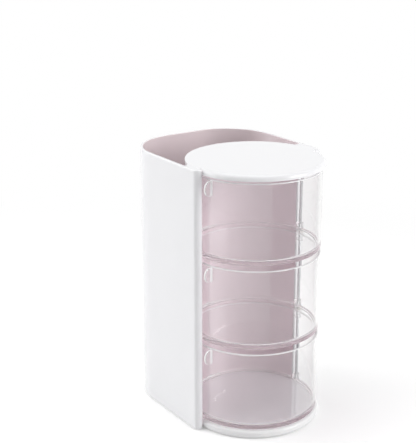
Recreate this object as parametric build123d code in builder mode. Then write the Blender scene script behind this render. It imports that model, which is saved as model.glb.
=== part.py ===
from build123d import *

import os
from math import asin, atan2, cos, degrees, hypot, radians, sin, sqrt

# Hair accessory organizer, in millimetres, +Z up, standing on Z = 0.
# A white case has a deep open bin at its back and a round bay at its front. Three clear round drawers
# stand one above the other in the bay and swing out to the right on one upright rod.
# The origin is under the middle of the whole. The front faces -Y. Sketches are drawn round the axis
# of the drawer column, so their X runs to the right and their Y to the back of that axis.

# Drawers
DRAWER_NAMES = ["drawer_bottom", "drawer_middle", "drawer_top"]
DRAWER_RADIUS = 49.4
DRAWER_HEIGHT = 60.4
DRAWER_WALL = 1.8
DRAWER_FLOOR = 2.7
DRAWER_FOOT_ROUND = 1.2
DRAWER_INSIDE_ROUND = 2.4
DRAWER_RIM_ROUND = 0.6

# Spaces round the drawers
BAY_GAP = 0.6
SPACE_UNDER_DRAWERS = 0.9
SPACE_BETWEEN_DRAWERS = 3.9
SPACE_OVER_DRAWERS = 1.9

# Case
WALL = 2.4
PARTITION = 1.5
NOSE_THICKNESS = 7.0
NOSE_FORWARD = 3.5
JAMB_THICKNESS = 3.0
RIGHT_WALL_FRONT = 13.2
BIN_DEPTH = 44.8
BIN_FLOOR = 2.4
BIN_FRONT_LEFT = 8.0
BIN_WEB_TURN = 153.0
REAR_CORNER = 42.0
RIM_ROUND = 0.9
BIN_RIM_ROUND = 0.5
BIN_INSIDE_ROUND = 0.9
CASE_FOOT_ROUND = 0.5

# Lid and base
LID_THICKNESS = 4.2
LID_SKIN = 2.0
LID_RIM_WIDTH = 3.4
LID_ROUND = 0.6
LID_LOW_ROUND = 0.6
LID_FRONT_STRAIGHT = 0.6
BASE_LAP = 0.7
BASE_THICKNESS = 5.7
BASE_SKIN = 2.5
BASE_RIM_WIDTH = 3.4
BASE_ROUND = 2.2
BASE_LOW_ROUND = 2.0
SEAT_GAP = 0.15

# Pivot
ROD_RADIUS = 1.25
ROD_IN_LID = 2.4
ROD_IN_BASE = 3.6
ROD_FIT = 0.05
ROD_FROM_DRAWER = 1.0
HUB_RADIUS = 3.0
HUB_CLEARANCE = 0.4
EAR_HEIGHT = 6.0
PIVOT_BACK = 6.6
COLLAR_WALL = 0.9
COLLAR_PLAY = 0.1

# Finger pull, a flat tab that stands out of the drawer's side
PULL_TURN = 195.0
PULL_REACH = 7.4
PULL_HEIGHT = 11.2
PULL_THICKNESS = 1.6
PULL_BELOW_RIM = 0.7
PULL_TOP_ROUND = 4.8
PULL_STRAIGHT = 0.9
PULL_EDGE_ROUND = 0.5

# Feet
FOOT_RADIUS = 5.0
FOOT_HEIGHT = 1.6
FOOT_PROUD = 0.8
FOOT_ROUND = 0.3
FOOT_SOCKET_GAP = 0.1
FOOT_BOSS_WIDTH = 2.0
FRONT_FOOT_FROM_RIM = 8.5
FRONT_FOOT_TURN = 42.0
REAR_FOOT_FROM_SIDE = 21.0
REAR_FOOT_FROM_BACK = 24.0

# What follows from these
BAY_RADIUS = DRAWER_RADIUS + BAY_GAP
PARTITION_RADIUS = BAY_RADIUS + PARTITION
HALF_WIDTH = BAY_RADIUS + NOSE_THICKNESS
LID_RADIUS = PARTITION_RADIUS
BASE_RADIUS = BAY_RADIUS + BASE_LAP
BACK = PARTITION_RADIUS + BIN_DEPTH + WALL
BIN_FRONT_RIGHT = RIGHT_WALL_FRONT + JAMB_THICKNESS
COLUMN_Y = (LID_RADIUS - BACK) / 2
PIVOT_RADIUS = DRAWER_RADIUS + ROD_FROM_DRAWER + ROD_RADIUS
PIVOT_RIGHT = sqrt(PIVOT_RADIUS ** 2 - PIVOT_BACK ** 2)
PARTITION_FRONT = PIVOT_BACK + HUB_RADIUS + HUB_CLEARANCE
PARTITION_END = sqrt(PARTITION_RADIUS ** 2 - PARTITION_FRONT ** 2)
DRAWER_PITCH = DRAWER_HEIGHT + SPACE_BETWEEN_DRAWERS

BASE_TOP = FOOT_PROUD + BASE_THICKNESS
FIRST_DRAWER = BASE_TOP + SPACE_UNDER_DRAWERS
DRAWER_BOTTOMS = [FIRST_DRAWER + DRAWER_PITCH * step for step in range(len(DRAWER_NAMES))]
LID_BOTTOM = DRAWER_BOTTOMS[-1] + DRAWER_HEIGHT + SPACE_OVER_DRAWERS
TOP = LID_BOTTOM + LID_THICKNESS
NOSE_RADIUS = NOSE_THICKNESS / 2
NOSE_TURN = degrees(asin(NOSE_FORWARD / LID_RADIUS))
LID_FRONT_ROUND = LID_THICKNESS - LID_LOW_ROUND - LID_FRONT_STRAIGHT
PULL_LOW_ROUND = PULL_HEIGHT - PULL_TOP_ROUND - PULL_STRAIGHT
FRONT_FOOT_X = (BASE_RADIUS - FRONT_FOOT_FROM_RIM) * cos(radians(FRONT_FOOT_TURN))
FRONT_FOOT_Y = (FRONT_FOOT_FROM_RIM - BASE_RADIUS) * sin(radians(FRONT_FOOT_TURN))
FRONT_FEET = [(-FRONT_FOOT_X, FRONT_FOOT_Y), (FRONT_FOOT_X, FRONT_FOOT_Y)]
REAR_FOOT_X = HALF_WIDTH - REAR_FOOT_FROM_SIDE
REAR_FEET = [(-REAR_FOOT_X, BACK - REAR_FOOT_FROM_BACK), (REAR_FOOT_X, BACK - REAR_FOOT_FROM_BACK)]


def level(height):
    """A flat plane at this height, with its origin on the axis of the drawer column."""
    return Plane((0, COLUMN_Y, height))


def upright(turn, height):
    """A plane that holds the column's axis: its X points outwards at this angle, its Y points up."""
    out = (cos(radians(turn)), sin(radians(turn)), 0)
    return Plane((0, COLUMN_Y, height), x_dir=out, z_dir=(out[1], -out[0], 0))


def side_and_back(inset, left_front, right_front):
    """Draws the case's sides and back, this far inside its outer face, down to two front ends."""
    side = HALF_WIDTH - inset
    back = BACK - inset
    corner = REAR_CORNER - inset
    Line((-side, left_front), (-side, back - corner))
    RadiusArc((-side, back - corner), (-side + corner, back), corner)
    Line((-side + corner, back), (side - corner, back))
    RadiusArc((side - corner, back), (side, back - corner), corner)
    Line((side, back - corner), (side, right_front))


def round_plate(radius, gap):
    """A disc with a shoulder at its right, which reaches out over the rod; a seat for it takes a gap."""
    depth = RIGHT_WALL_FRONT - SEAT_GAP + gap + NOSE_FORWARD
    Circle(radius + gap)
    with Locations((HALF_WIDTH / 2, -NOSE_FORWARD)):
        Rectangle(HALF_WIDTH / 2, depth, align=(Align.MIN, Align.MIN))
    with Locations((HALF_WIDTH - NOSE_RADIUS, -NOSE_FORWARD)):
        Circle(NOSE_RADIUS)


def on_outer_face(edge):
    """Whether this edge of the case runs along its sides, its back, a rear corner or the nose."""
    middle = edge.position_at(0.5)
    out, back = abs(middle.X), middle.Y - COLUMN_Y
    past_side, past_back = out - HALF_WIDTH + REAR_CORNER, back - BACK + REAR_CORNER
    in_corner = past_side > 0 and past_back > 0
    on_corner = in_corner and hypot(past_side, past_back) > REAR_CORNER - WALL / 2
    return back < -NOSE_FORWARD or out > HALF_WIDTH - WALL / 2 or back > BACK - WALL / 2 or on_corner


# Case: one moulding with the outer wall, the partition round the bay, the nose and the bin's floor
with BuildPart() as case:
    with BuildSketch(level(FOOT_PROUD)):
        with BuildLine():
            side_and_back(0, -NOSE_FORWARD, RIGHT_WALL_FRONT)
            Polyline((HALF_WIDTH, RIGHT_WALL_FRONT), (HALF_WIDTH - WALL, RIGHT_WALL_FRONT),
                     (PARTITION_END, PARTITION_FRONT), (0, PARTITION_FRONT), (0, 0), (-BAY_RADIUS, 0),
                     (-BAY_RADIUS, -NOSE_FORWARD))
            ThreePointArc((-BAY_RADIUS, -NOSE_FORWARD),
                          (-HALF_WIDTH + NOSE_RADIUS, -NOSE_FORWARD - NOSE_RADIUS),
                          (-HALF_WIDTH, -NOSE_FORWARD))
        make_face()
    extrude(amount=TOP - FOOT_PROUD)
    with BuildSketch(level(FOOT_PROUD)):
        Circle(BAY_RADIUS)
    extrude(amount=TOP - FOOT_PROUD, mode=Mode.SUBTRACT)
    with BuildSketch(level(FOOT_PROUD + BIN_FLOOR)) as bin_outline:
        with BuildLine():
            side_and_back(WALL, BIN_FRONT_LEFT, BIN_FRONT_RIGHT)
            web_end = (BAY_RADIUS * cos(radians(BIN_WEB_TURN)), BAY_RADIUS * sin(radians(BIN_WEB_TURN)))
            Polyline((HALF_WIDTH - WALL, BIN_FRONT_RIGHT), (0, BIN_FRONT_RIGHT), web_end,
                     (-HALF_WIDTH + WALL, BIN_FRONT_LEFT))
        make_face()
        Circle(PARTITION_RADIUS, mode=Mode.SUBTRACT)
        left_tip, right_tip = bin_outline.vertices().group_by(Axis.Y)[:2]
        fillet([*left_tip, *right_tip], BIN_INSIDE_ROUND)
    extrude(amount=TOP - FOOT_PROUD - BIN_FLOOR, mode=Mode.SUBTRACT)
    fillet(case.faces().group_by(Axis.Z)[-1].face().inner_wires()[0].edges(), BIN_RIM_ROUND)
    with BuildSketch(level(LID_BOTTOM)):
        round_plate(LID_RADIUS, SEAT_GAP)
    extrude(amount=LID_THICKNESS, mode=Mode.SUBTRACT)
    with BuildSketch(level(FOOT_PROUD)):
        round_plate(BASE_RADIUS, SEAT_GAP)
    extrude(amount=BASE_THICKNESS, mode=Mode.SUBTRACT)
    with BuildSketch(level(FOOT_PROUD)):
        with Locations(*REAR_FEET):
            Circle(FOOT_RADIUS + FOOT_SOCKET_GAP)
    extrude(amount=FOOT_HEIGHT - FOOT_PROUD, mode=Mode.SUBTRACT)
    fillet(case.edges().group_by(Axis.Z)[-1].filter_by(on_outer_face), RIM_ROUND)
    fillet(case.edges().group_by(Axis.Z)[0].filter_by(on_outer_face), CASE_FOOT_ROUND)

case.part.label = "case"

# Lid: a round plate with a shoulder over the rod, hollow underneath, its free front edge well rounded
with BuildPart() as lid:
    with BuildSketch(level(LID_BOTTOM)):
        round_plate(LID_RADIUS, 0)
    extrude(amount=LID_THICKNESS)
    fillet(lid.edges().group_by(Axis.Z)[-1], LID_ROUND)
    fillet(lid.edges().group_by(Axis.Z)[0], LID_LOW_ROUND)
    with BuildSketch(upright(180 + NOSE_TURN, TOP)):
        with BuildLine():
            start, end = LID_RADIUS - LID_FRONT_ROUND, LID_RADIUS + LID_FRONT_ROUND
            halfway = LID_FRONT_ROUND * sin(radians(45))
            ThreePointArc((LID_RADIUS, -LID_FRONT_ROUND), (start + halfway, halfway - LID_FRONT_ROUND), (start, 0))
            Polyline((start, 0), (start, LID_FRONT_ROUND), (end, LID_FRONT_ROUND), (end, -LID_FRONT_ROUND),
                     (LID_RADIUS, -LID_FRONT_ROUND))
        make_face()
    revolve(axis=Axis((0, COLUMN_Y, 0), (0, 0, 1)), revolution_arc=180 - 3 * NOSE_TURN, mode=Mode.SUBTRACT)
    with BuildSketch(level(LID_BOTTOM)):
        Circle(LID_RADIUS - LID_RIM_WIDTH)
    extrude(amount=LID_THICKNESS - LID_SKIN, mode=Mode.SUBTRACT)
    with BuildSketch(level(LID_BOTTOM)):
        with Locations((PIVOT_RIGHT, PIVOT_BACK)):
            Circle(ROD_RADIUS + ROD_FIT)
    extrude(amount=ROD_IN_LID, mode=Mode.SUBTRACT)

lid.part.label = "lid"

# Base: the like plate under the drawers, hollow underneath, with a boss for each front foot
with BuildPart() as base:
    with BuildSketch(level(FOOT_PROUD)):
        round_plate(BASE_RADIUS, 0)
    extrude(amount=BASE_THICKNESS)
    fillet(base.edges().group_by(Axis.Z)[-1], BASE_ROUND)
    fillet(base.edges().group_by(Axis.Z)[0], BASE_LOW_ROUND)
    with BuildSketch(level(FOOT_PROUD)):
        Circle(BASE_RADIUS - BASE_RIM_WIDTH)
        with Locations(*FRONT_FEET):
            Circle(FOOT_RADIUS + FOOT_BOSS_WIDTH, mode=Mode.SUBTRACT)
    extrude(amount=BASE_THICKNESS - BASE_SKIN, mode=Mode.SUBTRACT)
    with BuildSketch(level(FOOT_PROUD)):
        with Locations(*FRONT_FEET):
            Circle(FOOT_RADIUS + FOOT_SOCKET_GAP)
    extrude(amount=FOOT_HEIGHT - FOOT_PROUD, mode=Mode.SUBTRACT)
    with BuildSketch(level(BASE_TOP)):
        with Locations((PIVOT_RIGHT, PIVOT_BACK)):
            Circle(ROD_RADIUS + ROD_FIT)
    extrude(amount=-ROD_IN_BASE, mode=Mode.SUBTRACT)

base.part.label = "base"


def on_pull_outline(edge):
    """Whether this edge of a drawer runs round the finger pull, clear of the drawer's wall."""
    middle = edge.position_at(0.5)
    across = abs(edge.tangent_at(0.5).dot(upright(PULL_TURN, 0).z_dir)) > 0.5
    return hypot(middle.X, middle.Y - COLUMN_Y) > DRAWER_RADIUS + PULL_EDGE_ROUND and not across


def make_drawer(name, bottom):
    """A clear round drawer with a finger pull at its left and two ears that turn on the rod."""
    turn = degrees(atan2(PIVOT_BACK, PIVOT_RIGHT))
    pull_top = DRAWER_HEIGHT - PULL_BELOW_RIM
    with BuildPart() as drawer:
        with BuildSketch(level(bottom)):
            Circle(DRAWER_RADIUS)
        extrude(amount=DRAWER_HEIGHT)
        fillet(drawer.edges().group_by(Axis.Z)[0], DRAWER_FOOT_ROUND)
        fillet(drawer.edges().group_by(Axis.Z)[-1], DRAWER_RIM_ROUND)
        with BuildSketch(level(bottom), level(bottom + DRAWER_HEIGHT - EAR_HEIGHT)):
            with PolarLocations(DRAWER_RADIUS - DRAWER_WALL / 2, 1, turn):
                Circle(HUB_RADIUS)
            with Locations((PIVOT_RIGHT, PIVOT_BACK)):
                Circle(HUB_RADIUS)
            make_hull()
        extrude(amount=EAR_HEIGHT)
        with BuildSketch(upright(PULL_TURN, bottom)) as pull:
            with Locations((DRAWER_RADIUS - DRAWER_WALL / 2, pull_top)):
                Rectangle(PULL_REACH + DRAWER_WALL / 2, PULL_HEIGHT, align=(Align.MIN, Align.MAX))
            fillet(pull.vertices().group_by(Axis.X)[-1].sort_by(Axis.Y)[-1], PULL_TOP_ROUND)
            fillet(pull.vertices().group_by(Axis.X)[-1].sort_by(Axis.Y)[0], PULL_LOW_ROUND)
        extrude(amount=PULL_THICKNESS / 2, both=True)
        fillet(drawer.edges(Select.LAST).filter_by(on_pull_outline), PULL_EDGE_ROUND)
        with BuildSketch(level(bottom + DRAWER_FLOOR)):
            Circle(DRAWER_RADIUS - DRAWER_WALL)
        extrude(amount=DRAWER_HEIGHT - DRAWER_FLOOR, mode=Mode.SUBTRACT)
        inside = drawer.edges(Select.LAST).filter_by(GeomType.CIRCLE)
        fillet(inside.group_by(Axis.Z)[0], DRAWER_INSIDE_ROUND)
        fillet(inside.group_by(Axis.Z)[-1], DRAWER_RIM_ROUND)
        with BuildSketch(level(bottom)):
            with Locations((PIVOT_RIGHT, PIVOT_BACK)):
                Circle(ROD_RADIUS + ROD_FIT)
        extrude(amount=DRAWER_HEIGHT, mode=Mode.SUBTRACT)
    drawer.part.label = name
    return drawer.part


drawers = [make_drawer(name, bottom) for name, bottom in zip(DRAWER_NAMES, DRAWER_BOTTOMS)]

# Rod: one straight steel rod, held in a blind hole of the base and of the lid
with BuildPart() as pivot_rod:
    with BuildSketch(level(BASE_TOP - ROD_IN_BASE)):
        with Locations((PIVOT_RIGHT, PIVOT_BACK)):
            Circle(ROD_RADIUS)
    extrude(amount=LID_BOTTOM + ROD_IN_LID - BASE_TOP + ROD_IN_BASE)

pivot_rod.part.label = "pivot_rod"


def make_collar(name, bottom, top):
    """A plain ring on the rod that keeps what lies under and over it apart."""
    with BuildPart() as collar:
        with BuildSketch(level(bottom + COLLAR_PLAY)):
            with Locations((PIVOT_RIGHT, PIVOT_BACK)):
                Circle(ROD_RADIUS + ROD_FIT + COLLAR_WALL)
                Circle(ROD_RADIUS + ROD_FIT, mode=Mode.SUBTRACT)
        extrude(amount=top - bottom - 2 * COLLAR_PLAY)
    collar.part.label = name
    return collar.part


def make_foot(name, place):
    """A round rubber pad, half sunk in its socket."""
    with BuildPart() as foot:
        with BuildSketch(level(0)):
            with Locations(place):
                Circle(FOOT_RADIUS)
        extrude(amount=FOOT_HEIGHT)
        fillet(foot.edges().group_by(Axis.Z)[0], FOOT_ROUND)
    foot.part.label = name
    return foot.part


COLLAR_NAMES = ["collar_base", "collar_lower", "collar_upper", "collar_lid"]
COLLAR_BOTTOMS = [BASE_TOP] + [bottom + DRAWER_HEIGHT for bottom in DRAWER_BOTTOMS]
COLLAR_TOPS = DRAWER_BOTTOMS + [LID_BOTTOM]
collars = [make_collar(*ends) for ends in zip(COLLAR_NAMES, COLLAR_BOTTOMS, COLLAR_TOPS)]

FOOT_NAMES = ["foot_front_left", "foot_front_right", "foot_rear_left", "foot_rear_right"]
feet = [make_foot(name, place) for name, place in zip(FOOT_NAMES, FRONT_FEET + REAR_FEET)]

os.makedirs("parts", exist_ok=True)
for piece in [case.part, lid.part, base.part, pivot_rod.part, *drawers, *collars, *feet]:
    export_step(piece, f"parts/{piece.label}.step")
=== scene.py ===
# %% [markdown]
# Hair accessory organizer
# A white moulded case holds three clear round drawers, one above the other, under a round lid. The drawers
# swing out to the right on one upright steel rod. Behind them is a deep bin, open at the top.
# The shapes come from the imported model. This lesson gives them a studio and the finish of the real
# pieces: gloss and clear plastic, painted highlight lines on the drawers' rims and pulls, steel, nylon and
# rubber.

import math

import bpy
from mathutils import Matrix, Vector

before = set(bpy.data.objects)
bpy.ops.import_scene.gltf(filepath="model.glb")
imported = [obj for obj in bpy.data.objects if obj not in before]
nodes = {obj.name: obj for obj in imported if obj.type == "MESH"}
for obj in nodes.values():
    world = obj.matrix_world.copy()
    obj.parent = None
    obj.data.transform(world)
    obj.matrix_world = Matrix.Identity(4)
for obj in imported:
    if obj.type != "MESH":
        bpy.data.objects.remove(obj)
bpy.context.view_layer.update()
print("nodes:", ", ".join(sorted(nodes)))

# %% [markdown]
# Helpers for materials
# Colours are written as the hex values that an image editor shows. Shaders work in linear light, so one
# function turns them. The other adds a node, sets it up and links it, which keeps each material short
# enough to read as a recipe. A Mix node holds inputs for each kind of value: its two colours go into
# inputs 6 and 7, and the mixed colour leaves by output 2.

# %% Colour and node helpers
MM = 0.001
MIX_A, MIX_B, MIX_RESULT = 6, 7, 2


def linear(code):
    """An sRGB hex value as linear red, green, blue and alpha."""
    shares = [int(code[place:place + 2], 16) / 255 for place in (1, 3, 5)]
    return (*[s / 12.92 if s <= 0.04045 else ((s + 0.055) / 1.055) ** 2.4 for s in shares], 1.0)


def add(tree, kind, sockets=None, **settings):
    """Adds a node with its settings, and gives each named or numbered input a value or a link."""
    made = tree.nodes.new(kind)
    for name, value in settings.items():
        setattr(made, name, value)
    for name, value in (sockets or {}).items():
        if isinstance(value, bpy.types.NodeSocket):
            tree.links.new(value, made.inputs[name])
        else:
            made.inputs[name].default_value = value
    return made


def fresh(name):
    """A new material with an empty node tree and its output node."""
    material = bpy.data.materials.new(name)
    material.use_nodes = True
    material.node_tree.nodes.clear()
    return material, material.node_tree, add(material.node_tree, "ShaderNodeOutputMaterial")


print("white is", [round(v, 3) for v in linear("#F4F4F6")[:3]])

# %% [markdown]
# Camera
# The photograph looks down on the front left corner from about 0.9 m away. The place, the direction and the
# focal length were fitted to the edges of the case, the lid and the drawers. The sensor's 36 mm
# lie along the frame's long, upright side.

# %% Camera
CAMERA_PLACE = Vector((-0.4569, -0.6325, 0.3983))
CAMERA_YAW, CAMERA_PITCH = math.radians(34.45), math.radians(-17.99)
CAMERA_LENS, SENSOR_SIDE = 87.5, 36
CAMERA_SHIFT = (-0.0068, 0.0068)
NEAREST, FARTHEST = 0.01, 20

camera_data = bpy.data.cameras.new("camera")
camera_data.lens = CAMERA_LENS
camera_data.sensor_fit = "AUTO"
camera_data.sensor_width = SENSOR_SIDE
camera_data.shift_x, camera_data.shift_y = CAMERA_SHIFT
camera_data.clip_start, camera_data.clip_end = NEAREST, FARTHEST
camera = bpy.data.objects.new("camera", camera_data)
camera.location = CAMERA_PLACE
gaze = Vector((math.sin(CAMERA_YAW) * math.cos(CAMERA_PITCH), math.cos(CAMERA_YAW) * math.cos(CAMERA_PITCH),
               math.sin(CAMERA_PITCH)))
camera.rotation_mode = "QUATERNION"
camera.rotation_quaternion = gaze.to_track_quat("-Z", "Y")
bpy.context.scene.collection.objects.link(camera)
bpy.context.scene.camera = camera
print("camera is", round(CAMERA_PLACE.length, 3), "m away")

# %% [markdown]
# Studio light
# A pack shot of white goods is lit from large soft boxes, so that the white keeps its shades. A
# box at the left lights the case's side, one at the front right lights the drawers, and one overhead
# lights the lid. The room gives the rest. What looks into the room directly, or through the clear
# plastic or by a reflection, sees a white backdrop. The boxes light what is behind the clear plastic, but
# aren't seen through it themselves, because their image there would draw a bright band across the bay.
# A line of sight through three drawers meets dozens of surfaces, so the limits on bounces go up.

# %% World and soft boxes
ROOM_LEVEL = 0.22
BACKDROP_LEVEL = 1.0
SOFT_BOXES = {
    "box_left": ((-1.00, 0.72, 0.72), 1.4, 14.0),
    "box_right": ((0.60, -0.95, 0.50), 0.6, 8.0),
    "box_top": ((0.10, 0.15, 1.25), 0.9, 5.4),
}
AIM = Vector((0, 0, 0.1))
CLEAR_BOUNCES = 64

bpy.context.scene.view_settings.view_transform = "Standard"
for bounces in ("max_bounces", "transmission_bounces", "glossy_bounces", "transparent_max_bounces"):
    setattr(bpy.context.scene.cycles, bounces, CLEAR_BOUNCES)
world = bpy.data.worlds.new("white studio")
bpy.context.scene.world = world
world.use_nodes = True
world.node_tree.nodes.clear()


def sees_backdrop(tree):
    """1 for rays of the camera, of reflections and through clear plastic, and 0 for light on a surface."""
    path = add(tree, "ShaderNodeLightPath")
    seen = add(tree, "ShaderNodeMath", {0: path.outputs["Is Camera Ray"], 1: path.outputs["Is Glossy Ray"]},
               operation="MAXIMUM")
    return add(tree, "ShaderNodeMath", {0: seen.outputs[0], 1: path.outputs["Is Transmission Ray"]},
               operation="MAXIMUM").outputs[0]


sky = world.node_tree
level = add(sky, "ShaderNodeMix", {"Factor": sees_backdrop(sky), "A": ROOM_LEVEL, "B": BACKDROP_LEVEL})
room = add(sky, "ShaderNodeBackground", {"Color": linear("#FFFFFF"), "Strength": level.outputs[0]})
add(sky, "ShaderNodeOutputWorld", {"Surface": room.outputs[0]})

for name, (place, side, power) in SOFT_BOXES.items():
    lamp_data = bpy.data.lights.new(name, "AREA")
    lamp_data.shape = "SQUARE"
    lamp_data.size = side
    lamp_data.energy = power
    lamp = bpy.data.objects.new(name, lamp_data)
    lamp.location = place
    lamp.rotation_mode = "QUATERNION"
    lamp.rotation_quaternion = (AIM - Vector(place)).to_track_quat("-Z", "Y")
    lamp.visible_transmission = False
    bpy.context.scene.collection.objects.link(lamp)
    print(name, "at", place, power, "W")

# %% [markdown]
# Floor
# The organizer stands on seamless white paper. Near it the paper is lit and shaded like any surface, so
# that its soft shadow stays. Further out the paper runs into the white of the backdrop, as an
# overexposed sweep does, so that no horizon shows.

# %% Floor
FLOOR_SIDE = 6.0
PAPER = "#F1F1F1"
PAPER_GLOW = 0.255
FADE_START, FADE_END = 0.22, 0.60

bpy.ops.mesh.primitive_plane_add(size=FLOOR_SIDE, location=(0, 0, 0))
floor = bpy.context.object
floor.name = "paper_floor"
paper, tree, output = fresh("seamless white paper")
place = add(tree, "ShaderNodeTexCoord").outputs["Object"]
distance = add(tree, "ShaderNodeVectorMath", {0: place}, operation="LENGTH").outputs["Value"]
fade = add(tree, "ShaderNodeMapRange", {"Value": distance, "From Min": FADE_START, "From Max": FADE_END},
           interpolation_type="SMOOTHSTEP").outputs[0]
seen = sees_backdrop(tree)
lit = add(tree, "ShaderNodeBsdfDiffuse", {"Color": linear(PAPER)}).outputs[0]
glow = add(tree, "ShaderNodeEmission", {"Strength": PAPER_GLOW}).outputs[0]
brighter = add(tree, "ShaderNodeAddShader", {0: lit, 1: glow}).outputs[0]
near = add(tree, "ShaderNodeMixShader", {0: seen, 1: lit, 2: brighter}).outputs[0]
white = add(tree, "ShaderNodeEmission", {"Strength": BACKDROP_LEVEL}).outputs[0]
far = add(tree, "ShaderNodeMath", {0: fade, 1: seen}, operation="MULTIPLY").outputs[0]
sweep = add(tree, "ShaderNodeMixShader", {0: far, 1: near, 2: white}).outputs[0]
tree.links.new(sweep, output.inputs["Surface"])
floor.data.materials.append(paper)
print("floor of", FLOOR_SIDE, "m")

# %% [markdown]
# White ABS
# The case, the lid and the base are injection moulded in white ABS. The polished mould gives a gloss surface
# with an IOR of about 1.54. Seen closely it isn't perfect: the plastic flows and shrinks as it cools, which
# leaves shallow waves some centimetres long. They bend the reflections a little, and where the flow was
# slower the gloss and the white are a touch lower. The photograph shows smooth white, so all of this
# stays weak.
# Light gets into the bay and the bin by many bounces, and there the white looks rosier than on the outside.
# The faces that look towards the column have that tone painted into their colour, found by their own
# direction: painted rose shade for the bounce light, while the plastic there is as white as outside.

# %% White ABS
ABS_IOR = 1.54
FLOW_WAVE, FLOW_DEPTH, FLOW_STRENGTH = 28 * MM, 0.25 * MM, 0.2
COLUMN_AXIS = (0.0, -23.6 * MM, 0.0)
FLATTEN = (1.0, 1.0, 0.0)
# Painted rose shade that stands for the bounce light inside the bay and the bin.
PAINTED_BOUNCE_ROSE = "#F3E4E7"
LOOKS_PAST, LOOKS_IN = -0.3, -0.8


def faces_column(tree, texture):
    """1 on faces that look towards the drawer column's axis, falling to 0 where they look past it."""
    place = add(tree, "ShaderNodeVectorMath", {0: texture.outputs["Object"], 1: COLUMN_AXIS},
                operation="SUBTRACT")
    flat = add(tree, "ShaderNodeVectorMath", {0: place.outputs[0], 1: FLATTEN}, operation="MULTIPLY")
    away = add(tree, "ShaderNodeVectorMath", {0: flat.outputs[0]}, operation="NORMALIZE")
    look = add(tree, "ShaderNodeVectorMath", {0: away.outputs[0], 1: texture.outputs["Normal"]},
               operation="DOT_PRODUCT")
    return add(tree, "ShaderNodeMapRange", {"Value": look.outputs["Value"], "From Min": LOOKS_PAST,
                                            "From Max": LOOKS_IN}).outputs[0]


def moulded_abs(name, body_colour, shade_colour, gloss, dull):
    """Gloss white ABS: shallow flow waves that change the gloss and the white a little, and a painted rose
    shade on faces that look towards the column.
    """
    material, tree, output = fresh(name)
    texture = add(tree, "ShaderNodeTexCoord")
    place = texture.outputs["Object"]
    waves = add(tree, "ShaderNodeTexNoise", {"Vector": place, "Scale": 1 / FLOW_WAVE, "Detail": 1.0})
    white = add(tree, "ShaderNodeMix", {"Factor": waves.outputs[0], MIX_A: linear(body_colour),
                                        MIX_B: linear(shade_colour)}, data_type="RGBA")
    # Share of the painted rose shade, by how much the face looks towards the column.
    painted_rose_share = faces_column(tree, texture)
    tone = add(tree, "ShaderNodeMix", {"Factor": painted_rose_share, MIX_A: white.outputs[MIX_RESULT],
                                       MIX_B: linear(PAINTED_BOUNCE_ROSE)}, data_type="RGBA")
    rough = add(tree, "ShaderNodeMapRange", {"Value": waves.outputs[0], "To Min": gloss, "To Max": dull})
    low = add(tree, "ShaderNodeBump", {"Height": waves.outputs[0], "Strength": FLOW_STRENGTH,
                                       "Distance": FLOW_DEPTH})
    surface = add(tree, "ShaderNodeBsdfPrincipled", {
        "Base Color": tone.outputs[MIX_RESULT], "Roughness": rough.outputs[0], "IOR": ABS_IOR,
        "Normal": low.outputs[0]})
    tree.links.new(surface.outputs[0], output.inputs["Surface"])
    return material


case_abs = moulded_abs("Injection-moulded ABS, white gloss, case", "#F4F4F6", "#F2F2F4", 0.22, 0.26)
lid_abs = moulded_abs("Injection-moulded ABS, white gloss, lid", "#F6F6F8", "#F4F4F6", 0.24, 0.28)
# The base's white is lighter than the case's: painted light for the bounce from the white floor just below
# it.
base_abs_painted_bounce = moulded_abs("Injection-moulded ABS, white gloss, base", "#F9F9F9", "#F7F7F8", 0.24, 0.28)
print("ABS waves of", round(FLOW_WAVE / MM), "mm")

# %% [markdown]
# Clear polystyrene
# The drawers are crystal polystyrene, the usual clear plastic of small boxes, with an IOR of 1.59. It
# mirrors more than window glass does, so its rims and corners draw bright lines. It takes a little light
# on the way through, so the walls look clear face on and grey where the eye looks along them. Lamps
# shine through it without the cost of tracing each bent ray: rays to a lamp meet a transparent film
# instead.
# Two places aren't clear: the rim of each drawer and the edge round its finger pull. There the clear plastic
# turns into a matt white, a painted highlight that stands in for the bright lines of light these edges
# catch. The mask finds the rims by their height, because the drawers repeat at one pitch, and the pull's
# edge by its distance from the column's axis and by the direction it faces.

# %% Clear polystyrene
PS_IOR = 1.59
PS_WAVE, PS_WAVE_DEPTH, PS_WAVE_STRENGTH = 17 * MM, 0.12 * MM, 0.3
PS_DENSITY = 1.0
FIRST_DRAWER, DRAWER_PITCH, DRAWER_HEIGHT = 7.4 * MM, 64.3 * MM, 60.4 * MM
RIM_EDGE = 0.6 * MM
PULL_SIDE = (0.2588, -0.9659, 0.0)
PULL_START = 49.9 * MM
PULL_EDGE_FACING = 0.75
PULL_HALF_THICKNESS = 1.1 * MM
PULL_ROOT = (49.0 * MM, 50.7 * MM)
PULL_LOW = 49.3 * MM
PAINTED_HIGHLIGHT_SHARE, MATT_ROUGHNESS = 0.9, 0.45
POLISHED_ROUGHNESS = 0.02

clear_ps, tree, output = fresh("Injection-moulded polystyrene, crystal clear")
texture = add(tree, "ShaderNodeTexCoord")
place, facing = texture.outputs["Object"], texture.outputs["Normal"]


def sums(operation, first, second):
    """One step of arithmetic on values or sockets."""
    return add(tree, "ShaderNodeMath", {0: first, 1: second}, operation=operation).outputs[0]


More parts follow.
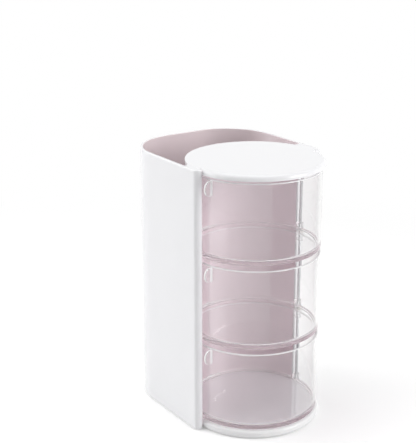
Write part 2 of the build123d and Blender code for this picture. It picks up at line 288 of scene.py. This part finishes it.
across, deep, high = add(tree, "ShaderNodeSeparateXYZ", {0: place}).outputs
turns = sums("DIVIDE", sums("SUBTRACT", high, FIRST_DRAWER - RIM_EDGE), DRAWER_PITCH)
in_drawer = sums("MULTIPLY", sums("FRACT", turns, 0.0), DRAWER_PITCH)
rim = sums("GREATER_THAN", in_drawer, DRAWER_HEIGHT)
out = add(tree, "ShaderNodeCombineXYZ", {0: across, 1: sums("SUBTRACT", deep, COLUMN_AXIS[1])})
reach = add(tree, "ShaderNodeVectorMath", {0: out.outputs[0]}, operation="LENGTH").outputs["Value"]
sideways = add(tree, "ShaderNodeVectorMath", {0: facing, 1: PULL_SIDE},
               operation="DOT_PRODUCT").outputs["Value"]
on_edge = sums("LESS_THAN", sums("ABSOLUTE", sideways, 0.0), PULL_EDGE_FACING)
at_left = sums("LESS_THAN", across, 0.0)
past_wall = sums("GREATER_THAN", reach, PULL_START)
pull = sums("MULTIPLY", sums("MULTIPLY", past_wall, on_edge), at_left)
off_plane = add(tree, "ShaderNodeVectorMath", {0: out.outputs[0], 1: PULL_SIDE}, operation="DOT_PRODUCT")
on_plane = sums("LESS_THAN", sums("ABSOLUTE", off_plane.outputs["Value"], 0.0), PULL_HALF_THICKNESS)
at_root = sums("MULTIPLY", sums("GREATER_THAN", reach, PULL_ROOT[0]), sums("LESS_THAN", reach, PULL_ROOT[1]))
root = sums("MULTIPLY", sums("MULTIPLY", on_plane, at_root),
            sums("MULTIPLY", at_left, sums("GREATER_THAN", in_drawer, PULL_LOW)))
# Painted highlight: the rims and the pull's edges lose their clearness and show a matt white.
painted_highlight_mask = sums("MULTIPLY", sums("MAXIMUM", sums("MAXIMUM", rim, pull), root), PAINTED_HIGHLIGHT_SHARE)

waves = add(tree, "ShaderNodeTexNoise", {"Vector": place, "Scale": 1 / PS_WAVE, "Detail": 1.0})
low = add(tree, "ShaderNodeBump", {"Height": waves.outputs[0], "Strength": PS_WAVE_STRENGTH,
                                   "Distance": PS_WAVE_DEPTH})
clear = sums("SUBTRACT", 1.0, painted_highlight_mask)
rough = add(tree, "ShaderNodeMapRange", {"Value": painted_highlight_mask, "To Min": POLISHED_ROUGHNESS,
                                         "To Max": MATT_ROUGHNESS})
# The white base colour is the colour of the painted highlight lines, where the plastic stops being clear.
glass = add(tree, "ShaderNodeBsdfPrincipled", {
    "Base Color": linear("#FAFAFA"), "Roughness": rough.outputs[0], "IOR": PS_IOR,
    "Transmission Weight": clear, "Normal": low.outputs[0]})
film = add(tree, "ShaderNodeBsdfTransparent", {"Color": linear("#FBFAFB")})
path = add(tree, "ShaderNodeLightPath")
for_light = add(tree, "ShaderNodeMath", {0: path.outputs["Is Shadow Ray"], 1: path.outputs["Is Diffuse Ray"]},
                operation="MAXIMUM")
surface = add(tree, "ShaderNodeMixShader", {0: for_light.outputs[0], 1: glass.outputs[0], 2: film.outputs[0]})
body = add(tree, "ShaderNodeVolumeAbsorption", {"Color": linear("#D4D2D6"), "Density": PS_DENSITY})
tree.links.new(surface.outputs[0], output.inputs["Surface"])
tree.links.new(body.outputs[0], output.inputs["Volume"])
print("clear plastic of IOR", PS_IOR)

# %% [markdown]
# Steel rod
# The rod is centreless-ground stainless steel. Grinding leaves very fine rings round it, which stretch its
# highlights along the rod. The rings are finer than a pixel, so they are drawn 0.3 mm apart.

# %% Ground stainless steel
RING_SPACING = 0.3 * MM
ROUND_THE_ROD = (0.02, 0.02, 1.0)
STEEL_GLOSS, STEEL_DULL = 0.18, 0.32

rod_steel, tree, output = fresh("Stainless steel, centreless ground")
place = add(tree, "ShaderNodeTexCoord").outputs["Object"]
stretched = add(tree, "ShaderNodeVectorMath", {0: place, 1: ROUND_THE_ROD}, operation="MULTIPLY").outputs[0]
rings = add(tree, "ShaderNodeTexNoise", {"Vector": stretched, "Scale": 1 / RING_SPACING, "Detail": 1.0})
tone = add(tree, "ShaderNodeMix", {"Factor": rings.outputs[0], MIX_A: linear("#C9CACC"),
                                   MIX_B: linear("#B9BBBE")}, data_type="RGBA")
rough = add(tree, "ShaderNodeMapRange", {"Value": rings.outputs[0], "To Min": STEEL_GLOSS,
                                         "To Max": STEEL_DULL})
steel = add(tree, "ShaderNodeBsdfPrincipled", {
    "Base Color": tone.outputs[MIX_RESULT], "Metallic": 1.0, "Roughness": rough.outputs[0]})
tree.links.new(steel.outputs[0], output.inputs["Surface"])
print("steel rings", round(RING_SPACING / MM, 1), "mm apart")

# %% [markdown]
# Nylon collars and rubber feet
# The collars on the rod are natural nylon, turned from tube, so they are milky with a soft sheen and faint
# turning lines. A wave texture repeats every turn divided by 20 at a scale of 1, which sets their spacing.
# The feet are pale thermoplastic rubber with the matt grain of a spark-eroded mould.

# %% Nylon and rubber
TURNING_LINES, TURNING_DEPTH = 0.5 * MM, 0.02 * MM
WAVES_PER_TURN = 20
NYLON_GLOW_DEPTH = 1.0 * MM
RUBBER_GRAIN, RUBBER_PITS = 0.35 * MM, 0.05 * MM

collar_nylon, tree, output = fresh("Natural nylon, turned")
place = add(tree, "ShaderNodeTexCoord").outputs["Object"]
spacing = math.tau / (WAVES_PER_TURN * TURNING_LINES)
lines = add(tree, "ShaderNodeTexWave", {"Vector": place, "Scale": spacing}, bands_direction="Z")
tone = add(tree, "ShaderNodeMix", {"Factor": lines.outputs[1], MIX_A: linear("#EDEBE4"),
                                   MIX_B: linear("#E4E1D9")}, data_type="RGBA")
ridge = add(tree, "ShaderNodeBump", {"Height": lines.outputs[1], "Strength": 0.3, "Distance": TURNING_DEPTH})
nylon = add(tree, "ShaderNodeBsdfPrincipled", {
    "Base Color": tone.outputs[MIX_RESULT], "Roughness": 0.42, "IOR": 1.53, "Normal": ridge.outputs[0],
    "Subsurface Weight": 0.2, "Subsurface Radius": (1.0, 0.9, 0.8), "Subsurface Scale": NYLON_GLOW_DEPTH})
tree.links.new(nylon.outputs[0], output.inputs["Surface"])

foot_rubber, tree, output = fresh("Thermoplastic rubber, spark-eroded grain")
place = add(tree, "ShaderNodeTexCoord").outputs["Object"]
grain = add(tree, "ShaderNodeTexNoise", {"Vector": place, "Scale": 1 / RUBBER_GRAIN, "Detail": 3.0})
tone = add(tree, "ShaderNodeMix", {"Factor": grain.outputs[0], MIX_A: linear("#DCDCDA"),
                                   MIX_B: linear("#CECECC")}, data_type="RGBA")
pits = add(tree, "ShaderNodeBump", {"Height": grain.outputs[0], "Strength": 0.6, "Distance": RUBBER_PITS})
rubber = add(tree, "ShaderNodeBsdfPrincipled", {
    "Base Color": tone.outputs[MIX_RESULT], "Roughness": 0.8, "IOR": 1.5, "Normal": pits.outputs[0]})
tree.links.new(rubber.outputs[0], output.inputs["Surface"])
print("nylon and rubber made")

# %% [markdown]
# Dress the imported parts
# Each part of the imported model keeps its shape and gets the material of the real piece.

# %% Assign the materials
FINISHES = {
    "case": case_abs, "lid": lid_abs, "base": base_abs_painted_bounce, "pivot_rod": rod_steel,
    **{name: clear_ps for name in nodes if name.startswith("drawer_")},
    **{name: collar_nylon for name in nodes if name.startswith("collar_")},
    **{name: foot_rubber for name in nodes if name.startswith("foot_")},
}
for name, material in FINISHES.items():
    for holder in nodes[name].material_slots:
        holder.material = material
print(len(FINISHES), "of", len(nodes), "nodes dressed")
